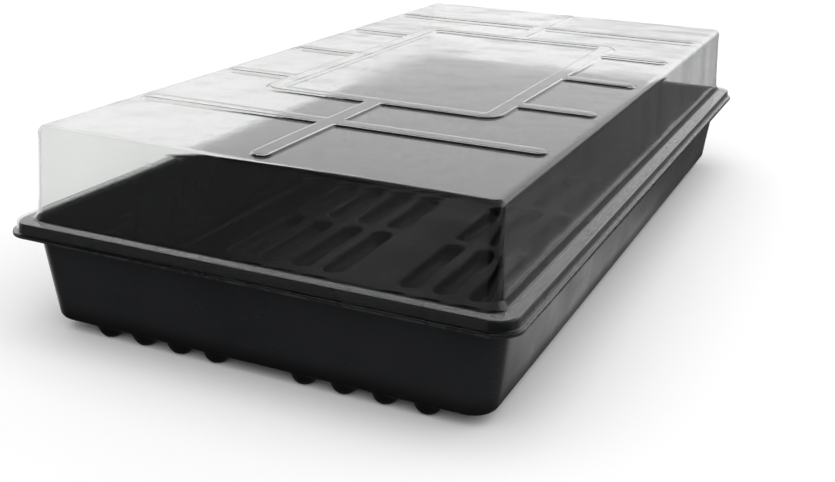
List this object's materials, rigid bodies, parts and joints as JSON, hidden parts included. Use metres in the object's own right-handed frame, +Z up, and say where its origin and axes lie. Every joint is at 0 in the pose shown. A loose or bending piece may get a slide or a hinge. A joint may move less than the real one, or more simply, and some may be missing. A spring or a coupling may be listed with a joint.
{
  "type": "humidity dome tray",
  "caption": "Black formed growing tray with long channels in its floor, covered by a clear ribbed humidity dome that lifts off.",
  "frame": {"origin": "under the middle of the tray, on the plane that its foot channels stand on", "axes": "+X across the 11 in width, +Y along the 21.37 in length, +Z up"},
  "size_m": [0.2794, 0.5428, 0.1133],
  "materials": {
    "tray_plastic": "satin black formed sheet",
    "clear_plastic": "clear glossy formed sheet"
  },
  "bodies": {
    "tray": {"grow_tray": "tray_plastic"},
    "dome": {"humidity_dome": "clear_plastic"}
  },
  "joints": [
    {"name": "dome_lift", "type": "slide", "parent": "tray", "child": "dome", "axis": [0, 0, 1], "range_m": [0, 0.12]}
  ]
}
